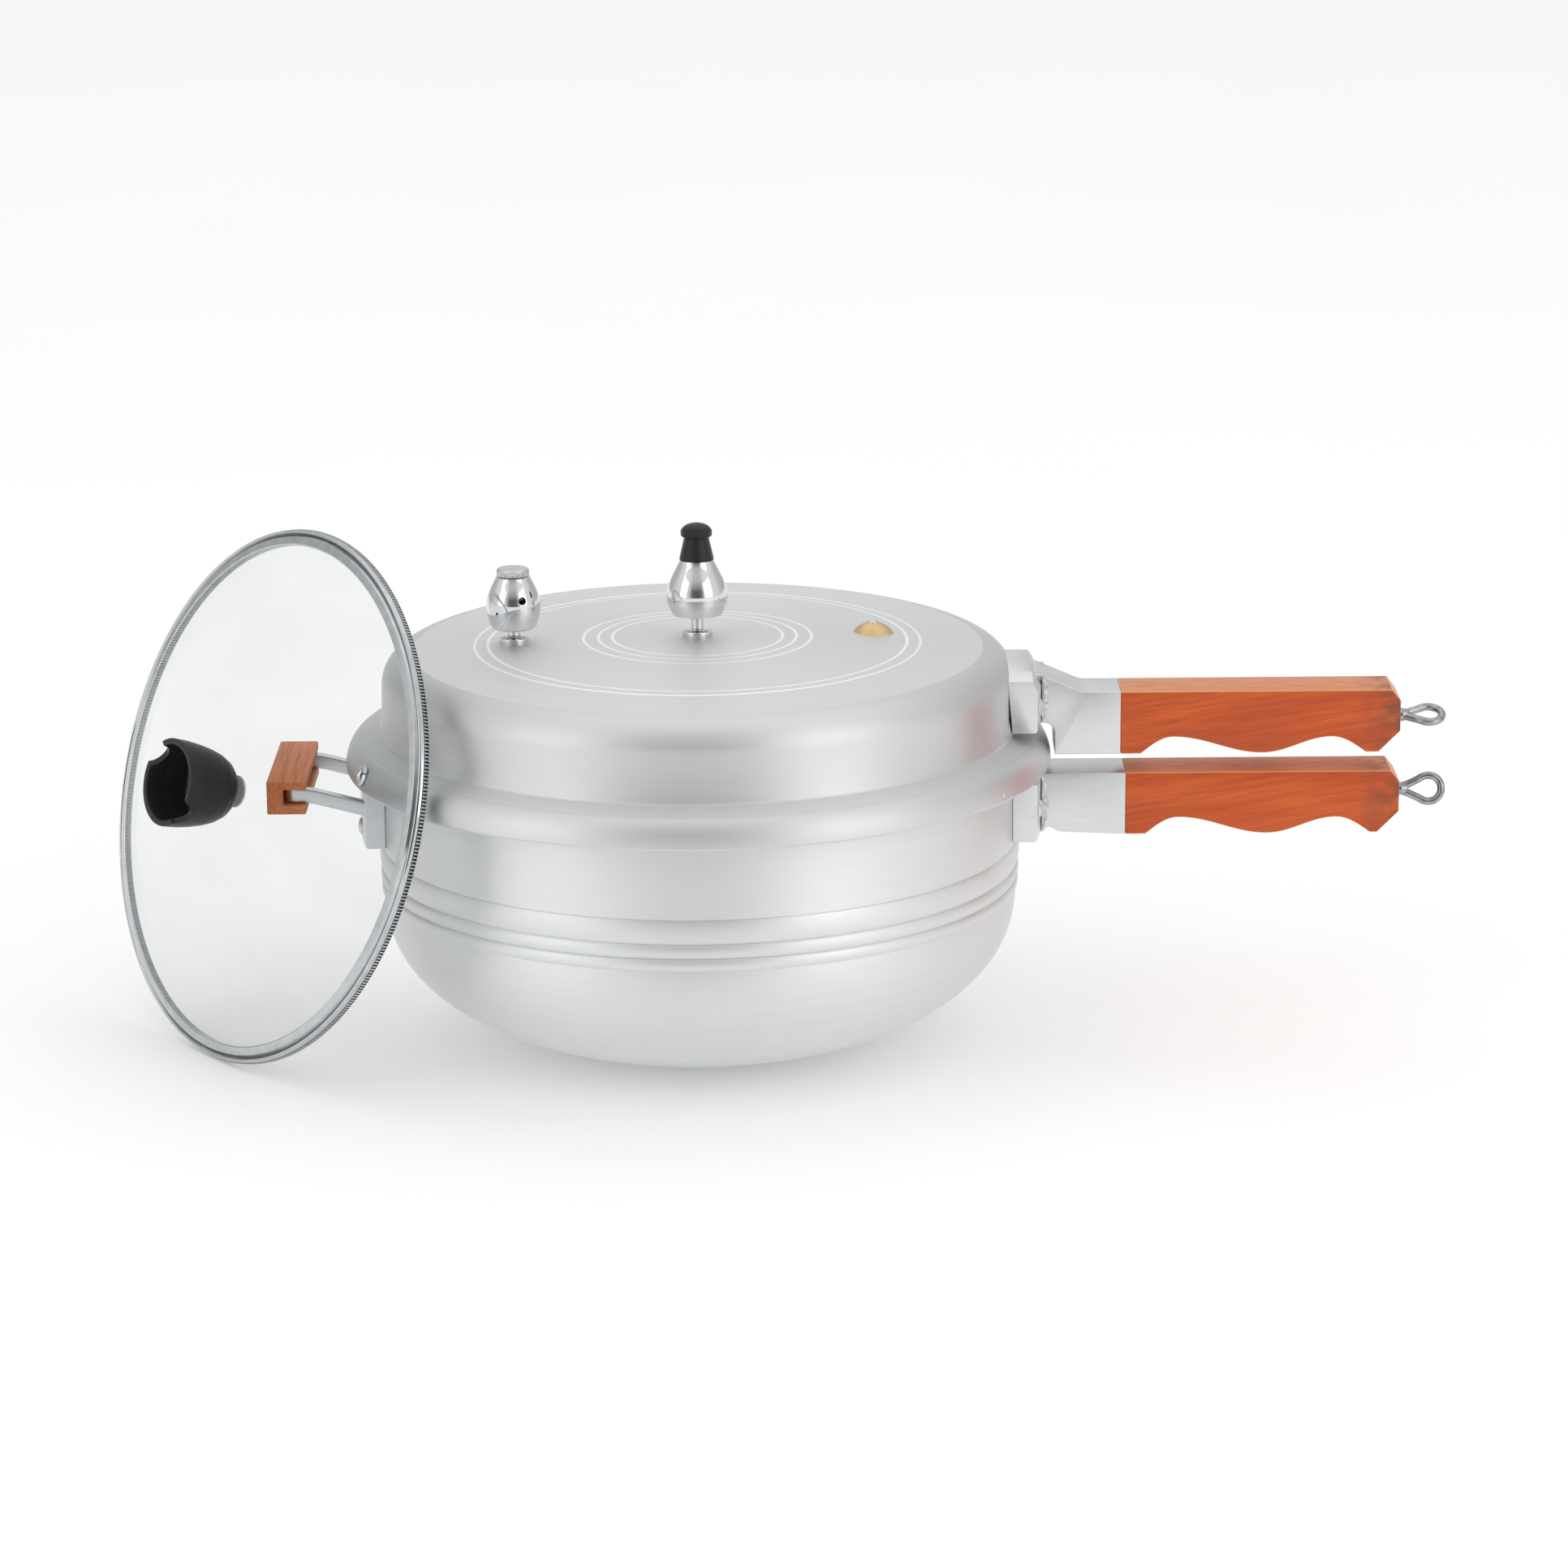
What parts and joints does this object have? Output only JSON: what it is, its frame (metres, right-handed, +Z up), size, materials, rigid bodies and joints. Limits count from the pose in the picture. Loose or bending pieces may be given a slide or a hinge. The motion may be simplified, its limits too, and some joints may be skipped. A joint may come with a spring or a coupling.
{
  "type": "stovetop pressure cooker",
  "caption": "Wide round-bottomed aluminium pressure cooker with a turn-to-lock lid, wooden side handles, lid valves and a separate leaning glass lid.",
  "frame": {"origin": "on the floor, on the pot's axis", "axes": "+X along the long handles, away from the pot; +Z up; the object is viewed along +Y"},
  "size_m": [0.6372, 0.3314, 0.2456],
  "materials": {
    "spun_aluminium": "satin",
    "cast_aluminium": "satin, sand cast",
    "grip_wood": "varnished",
    "block_wood": "sanded",
    "chrome": "polished",
    "zinc_steel": "zinc plated",
    "stainless_rim": "brushed",
    "brass_gold": "satin",
    "fusible_metal": "dull",
    "spring_steel": "drawn",
    "black_phenolic": "moulded",
    "seal_rubber": "matte",
    "clear_glass": "tempered, clear"
  },
  "bodies": {
    "pot": {"pot_body": "spun_aluminium", "pot_handle_bracket": "cast_aluminium", "pot_handle_rivets": "cast_aluminium", "pot_handle_grip": "grip_wood", "pot_handle_eye_bolt": "zinc_steel", "helper_bracket": "cast_aluminium", "helper_rivets": "cast_aluminium", "helper_block": "block_wood", "helper_block_screws": "zinc_steel"},
    "lid": {"lid_shell": "spun_aluminium", "lid_gasket": "seal_rubber", "lid_handle_bracket": "cast_aluminium", "lid_handle_rivets": "cast_aluminium", "lid_handle_grip": "grip_wood", "lid_handle_eye_bolt": "zinc_steel", "rim_eyelet": "zinc_steel", "vent_stem": "chrome", "vent_washer": "seal_rubber", "vent_nut": "zinc_steel", "relief_stem": "chrome", "relief_washer": "seal_rubber", "relief_nut": "zinc_steel", "relief_body": "chrome", "relief_cap": "chrome", "relief_spring": "spring_steel", "safety_plug_body": "brass_gold", "safety_plug_core": "fusible_metal", "safety_plug_washer": "seal_rubber", "safety_plug_nut": "brass_gold"},
    "relief_plunger": {"relief_plunger": "brass_gold"},
    "regulator": {"regulator_weight": "chrome", "regulator_needle": "zinc_steel", "regulator_knob": "black_phenolic"},
    "glass_lid": {"glass_pane": "clear_glass", "glass_rim": "stainless_rim", "glass_knob": "black_phenolic", "knob_screw": "zinc_steel", "knob_washers": "seal_rubber"}
  },
  "joints": [
    {"name": "lid_turn", "type": "hinge", "parent": "pot", "child": "lid", "pos_m": [0, 0, 0.1394], "axis": [0, 0, 1], "range_deg": [0, 30]},
    {"name": "regulator_lift", "type": "slide", "parent": "lid", "child": "regulator", "axis": [0, 0, 1], "range_m": [0, 0.03]},
    {"name": "relief_lift", "type": "slide", "parent": "lid", "child": "relief_plunger", "axis": [0, 0, 1], "range_m": [0, 0.002], "stiffness_N_per_m": 800, "springref_m": -0.0025, "deforming": ["relief_spring"]},
    {"name": "glass_lid_lift", "type": "slide", "parent": "pot", "child": "glass_lid", "axis": [0, 0, 1], "range_m": [0, 0.3]}
  ]
}
